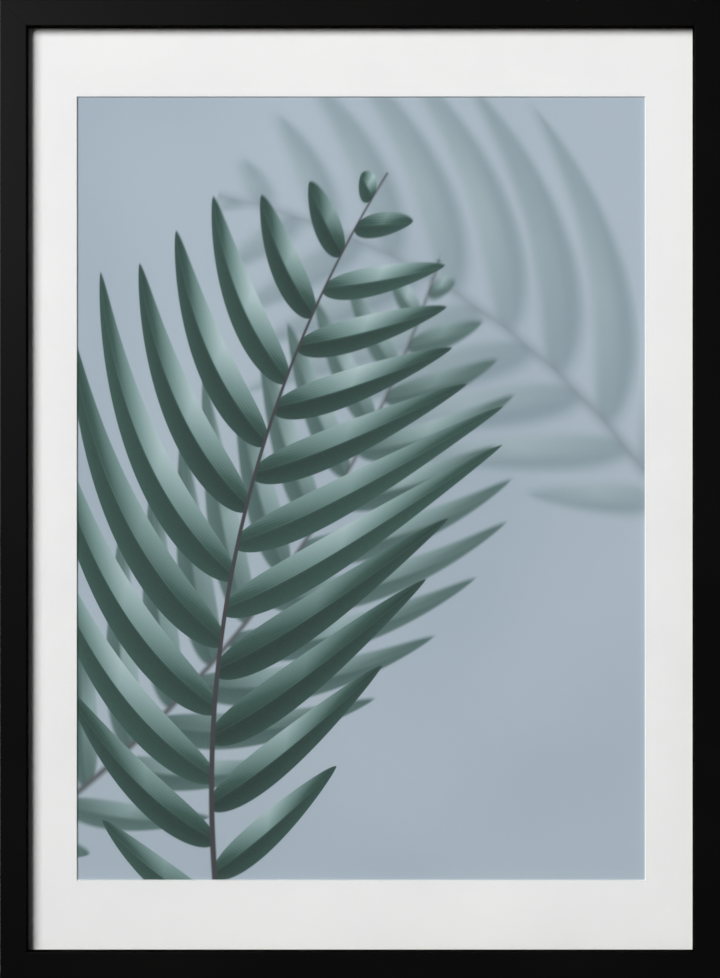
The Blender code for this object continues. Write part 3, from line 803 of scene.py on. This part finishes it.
def screw_rings():
    """A pan head screw on the Y axis, head up: a dome cut by a cross recess, over a threaded shank.

    The dome's height is the root of the cosine. The recess is a cross whose floor rises outwards. The thread
    is a ridge on the shank whose phase turns once a pitch.
    """
    head, shank, length = 0.0030, 0.00125, 0.0110
    pitch, thread, steps = 0.0011, 0.00028, 72
    arm_side, arm_end = (-0.00052, -0.00034), (-0.00185, -0.00165)
    angles = np.linspace(0.0, 2 * math.pi, steps, endpoint=False)
    crown = np.linspace(0.00002, 0.0026, 30)
    brow = head * np.sin(np.radians(np.linspace(62, 90, 8)))
    radii = np.concatenate((crown, brow))
    dome = SCREW_HEAD_HEIGHT * np.sqrt(np.clip(1 - (radii / head) ** 2, 0.0, 1.0)) ** 0.5
    x = radii[:, None] * np.cos(angles)
    z = radii[:, None] * np.sin(angles)
    reach = np.maximum(np.abs(x), np.abs(z))
    width = np.minimum(np.abs(x), np.abs(z))
    arm = smooth_share(-width, *arm_side) * smooth_share(-reach, *arm_end)
    depth = arm * (0.0013 - 0.30 * reach)
    top = np.stack((x, dome[:, None] - depth, z), axis=-1)
    rim = turned(np.array(((head, 0.00012), (head - 0.00012, 0.0), (shank, 0.0))), steps)
    levels = np.linspace(-0.0004, -length + 0.0022, 60)
    phase = levels[:, None] / pitch + angles / (2 * math.pi)
    ridge = np.abs(2 * (phase - np.floor(phase)) - 1)
    radius = shank - thread * (1 - ridge) * smooth_share(-levels, 0.0013, 0.0022)[:, None]
    heights = np.broadcast_to(levels[:, None], radius.shape)
    body = np.stack((radius * np.cos(angles), heights, radius * np.sin(angles)), axis=-1)
    tip = turned(np.array(((shank - thread, -length + 0.0020), (0.00004, -length))), steps)
    return np.concatenate((top, rim, body, tip))


def nail_rings():
    """A nail on the Y axis, head up: a low domed head with a rolled rim on a plain shank."""
    head, shank, length = 0.0020, 0.0008, 0.0110
    dome = np.stack((head * np.sin(np.radians(np.linspace(0.5, 70, 14))), np.zeros(14)), axis=1)
    dome[:, 1] = NAIL_HEAD_HEIGHT - 0.00035 * (dome[:, 0] / head) ** 2
    rim = np.array(((head, 0.0003), (head - 0.00004, 0.00008), (head - 0.0002, 0.0), (shank, 0.0)))
    tip = np.array(((shank, -length + 0.0024), (0.6 * shank, -length + 0.0009), (0.00004, -length)))
    return turned(np.vstack((dome, rim, tip)), 48)


def bumper_rings():
    """A rubber bumper on the Y axis: a drum with a moulded lip at its foot, a round rim and a dish."""
    radius, height, round_off = 0.0050, 0.0042, 0.0010
    dish = np.array(((0.00004, height - 0.0002), (0.0018, height - 0.0002), (0.0022, height)))
    rim = arc((radius - round_off, height - round_off), round_off, 90, 0, 10)
    waist = radius - 0.0001
    foot = np.array(((radius, 0.0007), (waist, 0.0006), (waist, 0.0005), (radius, 0.0004)))
    return turned(np.vstack((dish, rim, foot, [(radius, 0.0), (0.00004, 0.0)])), 72)


HANGER_LENGTH = 0.0460
HANGER_UPPER = 0.0074
HANGER_THICKNESS = 0.0008
HANGER_RISE = 0.0015
TOOTH_PITCH = 0.0024
TOOTH_HEIGHT = 0.0016
TEETH_END = 5 * TOOTH_PITCH
HANGER_FOOT = 0.0177


def hanger_rings():
    """A sawtooth hanger along X: a rounded strip section carried over the bow, its lower edge cut in teeth.

    The bow is a smooth step from the foot to the teeth. The teeth are a triangle wave with rounded tips.
    """
    teeth = np.linspace(-TEETH_END, TEETH_END, 221)
    wing = np.linspace(TEETH_END, HANGER_LENGTH / 2, 30)[1:]
    xs = np.concatenate((-wing[::-1], teeth, wing))
    share = smooth_share(-np.abs(xs), -HANGER_FOOT, -TEETH_END)
    rise = SEAT_GAP + HANGER_THICKNESS / 2 + HANGER_RISE * share
    slope = np.gradient(rise, xs)
    wave = 2 * np.abs(np.abs(xs) / TOOTH_PITCH - np.round(np.abs(xs) / TOOTH_PITCH))
    wave = np.where(np.abs(xs) > TEETH_END - TOOTH_PITCH / 2, 1.0, np.clip(wave, 0.04, 0.96))
    lower = -TOOTH_HEIGHT * wave
    half, ease, guard = HANGER_THICKNESS / 2, 0.00015, 0.0002
    corner = arc((0.0, 0.0), ease, 0, 90, 3)
    flat = half - ease
    section = [(half, ("upper", -guard))]
    section += [(flat + a, ("upper", -ease + b)) for a, b in corner]
    section += [(-(flat + a), ("upper", -ease + b)) for a, b in corner[::-1]]
    section += [(-half, ("upper", -guard)), (-half, ("lower", guard))]
    section += [(-(flat + a), ("lower", ease - b)) for a, b in corner]
    section += [(flat + a, ("lower", ease - b)) for a, b in corner[::-1]]
    section += [(half, ("lower", guard))]
    tilt = np.sqrt(1 + slope**2)
    rings = np.zeros((len(xs), len(section), 3))
    for n, (offset, (edge, shift)) in enumerate(section):
        rings[:, n, 0] = xs - offset * slope / tilt
        rings[:, n, 1] = rise + offset / tilt
        rings[:, n, 2] = (HANGER_UPPER if edge == "upper" else lower) + shift
    return rings


def node_middle(node):
    low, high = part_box(node)
    return (np.array(low) + np.array(high)) / 2


def add_hardware():
    """The plates, screws, hangers, nails and bumpers on the rails' backs, each where its CAD node is.

    Each screw is turned by another angle, so that the cross recesses don't line up.
    """
    plate = steel_finish("zinc_plate_stamped", (0.50, 0.50, 0.47), (0.66, 0.66, 0.64), 0.24, 1600.0)
    screw = steel_finish("screw_steel_plated", (0.52, 0.52, 0.50), (0.70, 0.70, 0.69), 0.18, 2400.0)
    strip = steel_finish("hanger_steel_rolled", (0.48, 0.47, 0.43), (0.64, 0.63, 0.59), 0.26, 1200.0)
    wire = steel_finish("nail_steel_bright", (0.42, 0.42, 0.41), (0.58, 0.58, 0.57), 0.26, 2400.0)
    key = steel_finish("key_steel_bare", (0.30, 0.30, 0.30), (0.46, 0.46, 0.46), 0.34, 1800.0)
    rubber = rubber_finish()
    button = button_rings()
    pan = screw_rings()
    nail = nail_rings()
    saw = hanger_rings()
    drum = bumper_rings()
    for side, turn in SIDE_TURN.items():
        for number in (1, 2):
            label = f"{side}_{number}"
            axis = node_middle(f"button_screw_{label}")
            plate_y = node_middle(f"turn_button_{label}")[1]
            piece = shell(f"button_plate_{label}", moved(button, (axis[0], plate_y, axis[2]), turn), True)
            dress(piece, plate, f"button_{label}", "zinc_plate", f"turn_button_{label}")
            spin = turn + 31.0 * number + len(side) * 13.0
            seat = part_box(f"button_screw_{label}")[1][1] - SCREW_HEAD_HEIGHT
            piece = shell(f"pan_head_{label}", moved(pan, (axis[0], seat, axis[2]), spin), sharp=50.0)
            dress(piece, screw, "frame", "screw_steel", f"button_screw_{label}")
    for way, side in (("upright", "top"), ("sideways", "left")):
        strip_middle = node_middle(f"hanger_{way}")
        turn = SIDE_TURN[side]
        lift = (HANGER_UPPER - TOOTH_HEIGHT) / 2
        angle = math.radians(turn)
        notch = (strip_middle[0] - lift * math.sin(angle), 0.0, strip_middle[2] - lift * math.cos(angle))
        piece = shell(f"sawtooth_strip_{way}", moved(saw, notch, turn), sharp=30.0)
        dress(piece, strip, "frame", "hanger_steel", f"hanger_{way}")
        for number in (1, 2):
            node = f"hanger_nail_{way}_{number}"
            middle = node_middle(node)
            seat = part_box(node)[1][1] - NAIL_HEAD_HEIGHT
            piece = shell(f"nail_{way}_{number}", moved(nail, (middle[0], seat, middle[2]), 0.0))
            dress(piece, wire, "frame", "nail_steel", node)
    for corner in ("top_left", "top_right", "bottom_left", "bottom_right"):
        middle = node_middle(f"bumper_{corner}")
        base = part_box(f"bumper_{corner}")[0][1]
        piece = shell(f"wall_bumper_{corner}", moved(drum, (middle[0], base, middle[2]), 0.0))
        dress(piece, rubber, "frame", "bumper_rubber", f"bumper_{corner}")
        repaint(f"corner_key_{corner}", key)


def add_frame():
    """The four rails, with the corner keys' pockets cut into their backs."""
    # the second finish is the lip's inner side, darkened as painted shade
    finishes = (lacquer_finish(), painted_shade_edge_finish(), bare_finish())
    cutter = key_pockets()
    for side, turn in SIDE_TURN.items():
        sight = SIGHT_WIDTH if side in ("top", "bottom") else SIGHT_HEIGHT
        rail(f"rail_{side}", sight, turn, finishes, cutter)
    bpy.data.objects.remove(cutter)


def add_sheets():
    """The glazing, the mat, the print and the boards."""
    pane = slab("glazing_pane", GLAZING_LOW, GLAZING_HIGH, PANE_EASE)
    dress(pane, glazing_finish(), "frame", "clear_glass", "glazing")
    mat(mat_finish())
    repaint("print", print_finish())
    repaint("filler_board", board_finish("grey_card_pulp", (0.52, 0.48, 0.42), (0.68, 0.64, 0.58), 900.0))
    hardboard = board_finish("hardboard_smooth", (0.150, 0.084, 0.045), (0.212, 0.126, 0.070), 1900.0)
    board = slab("backing_sheet", BOARD_LOW, BOARD_HIGH, BOARD_EASE)
    dress(board, hardboard, "frame", "hardboard", "backing_board")


def lamp(kind, name, at, energy, **settings):
    """A lamp at a place from the picture's middle, which it faces, out of the camera's sight."""
    data = bpy.data.lights.new(name, kind)
    data.energy = energy
    for setting, value in settings.items():
        setattr(data, setting, value)
    light = bpy.data.objects.new(name, data)
    bpy.context.scene.collection.objects.link(light)
    light.location = Vector(MIDDLE) + Vector(at)
    light.rotation_euler = (-Vector(at)).to_track_quat("-Z", "Y").to_euler()
    light.visible_camera = False
    return light


def add_stage():
    """A plain pale floor under the frame's lower edge, soft lamps and a sky that lights the back more.

    The key comes from the upper left and stays out of the lacquer's gloss. The near lamp makes the picture
    lighter towards its top, and the sheen lamp shows on the lacquer at the upper left.
    """
    spread = np.array(((-1, -1), (1, -1), (1, 1), (-1, 1))) * FLOOR_HALF_SPAN
    mesh = bpy.data.meshes.new("studio_floor")
    points = [(x, y, LOW[2] - FLOOR_DROP) for x, y in spread]
    mesh.from_pydata(points, [], [(0, 1, 2, 3)])
    floor = bpy.data.objects.new("studio_floor", mesh)
    bpy.context.scene.collection.objects.link(floor)
    finish = Finish("pale_floor")
    finish.set(Base_Color=(0.70, 0.70, 0.69, 1.0), Roughness=0.8)
    mesh.materials.append(finish.material)
    floor.visible_glossy = False
    floor.visible_diffuse = False
    key = lamp("SUN", "key", (-2.5, -4.0, 0.95), 3.26, angle=math.radians(KEY_SOFTNESS))
    near = lamp("AREA", "near", (-0.75, -1.5, 1.05), 7.4, size=0.5)
    for diffuse in (key, near):
        diffuse.visible_glossy = False
    lamp("AREA", "sheen", (-1.75, -3.9, 1.35), 21.5, size=0.7)
    lamp("SUN", "rear", (1.0, 2.6, 2.0), 2.4, angle=math.radians(REAR_SOFTNESS))
    world = bpy.data.worlds.new("studio")
    world.use_nodes = True
    tree = world.node_tree
    background = tree.nodes["Background"]
    background.inputs["Color"].default_value = (0.86, 0.87, 0.88, 1.0)
    direction = tree.nodes.new("ShaderNodeTexCoord")
    parted = tree.nodes.new("ShaderNodeSeparateXYZ")
    ambient = tree.nodes.new("ShaderNodeMapRange")
    seen = tree.nodes.new("ShaderNodeLightPath")
    strength = tree.nodes.new("ShaderNodeMix")
    ambient.inputs["From Min"].default_value = -0.1
    ambient.inputs["From Max"].default_value = 0.6
    ambient.inputs["To Min"].default_value = SKY_IN_FRONT
    ambient.inputs["To Max"].default_value = SKY_BEHIND
    strength.inputs["B"].default_value = SKY_SEEN
    tree.links.new(direction.outputs["Generated"], parted.inputs[0])
    tree.links.new(parted.outputs["Y"], ambient.inputs["Value"])
    tree.links.new(seen.outputs["Is Camera Ray"], strength.inputs["Factor"])
    tree.links.new(ambient.outputs["Result"], strength.inputs["A"])
    tree.links.new(strength.outputs["Result"], background.inputs["Strength"])
    bpy.context.scene.world = world


def add_camera():
    """A camera square to the picture, so that the frame's outer edges meet the view's edges."""
    edge_plane = FRONT + OUTER_ROUND
    distance = (OUTER_HEIGHT - VIEW_TRIM) * LENS / SENSOR
    data = bpy.data.cameras.new("camera")
    data.lens = LENS
    data.sensor_width = SENSOR
    camera = bpy.data.objects.new("camera", data)
    bpy.context.scene.collection.objects.link(camera)
    camera.location = (VIEW_OFF, edge_plane - distance, CENTRE_Z)
    camera.rotation_euler = (math.radians(90.0), 0.0, 0.0)
    bpy.context.scene.camera = camera
    bpy.context.scene.view_settings.view_transform = "Standard"


add_camera()
add_stage()
add_frame()
add_sheets()
add_hardware()
